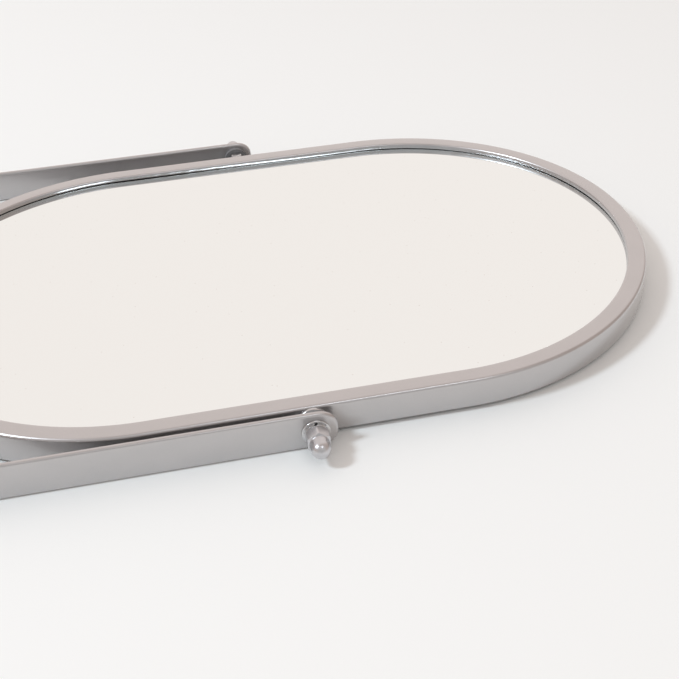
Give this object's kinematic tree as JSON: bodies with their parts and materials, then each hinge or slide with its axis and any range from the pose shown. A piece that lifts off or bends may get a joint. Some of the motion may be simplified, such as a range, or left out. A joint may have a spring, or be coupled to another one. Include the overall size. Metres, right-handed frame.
{
  "type": "folding makeup mirror",
  "caption": "Pill-shaped tabletop makeup mirror in a thin metal frame that turns on bolts inside a U-shaped flat-bar stand, shown folded flat.",
  "frame": {"origin": "bottom centre of the folded mirror's box, on the surface that it lies on", "axes": "+X along the mirror away from the stand's base, +Y to the left pivot, +Z out of the glass when folded"},
  "size_m": [0.301, 0.2198, 0.013],
  "materials": {
    "stand": "satin silver lacquer on flat steel bar",
    "mirror_frame": "satin silver lacquer on rolled sheet steel",
    "mirror_glass": "silvered float glass",
    "backing_pad": "closed-cell foam sheet",
    "back_panel": "satin silver lacquer on sheet steel",
    "steel_fastener": "zinc-plated steel",
    "friction_washer": "grey nylon",
    "cap_nut": "nickel-plated steel"
  },
  "bodies": {
    "stand_body": {"stand": "stand"},
    "mirror_body": {"mirror_frame": "mirror_frame", "mirror_glass": "mirror_glass", "backing_pad": "backing_pad", "back_panel": "back_panel", "pivot_bolt_left": "steel_fastener", "inner_washer_left": "steel_fastener", "outer_washer_left": "steel_fastener", "spring_washer_left": "steel_fastener", "friction_washer_left": "friction_washer", "cap_nut_left": "cap_nut", "pivot_bolt_right": "steel_fastener", "inner_washer_right": "steel_fastener", "outer_washer_right": "steel_fastener", "spring_washer_right": "steel_fastener", "friction_washer_right": "friction_washer", "cap_nut_right": "cap_nut", "spacing_nut_inner": "steel_fastener", "spacing_nut_outer": "steel_fastener"}
  },
  "joints": [
    {"name": "mirror_tilt", "type": "hinge", "parent": "stand_body", "child": "mirror_body", "pos_m": [0.0095, 0, 0.0065], "axis": [0, 1, 0], "continuous": true}
  ]
}
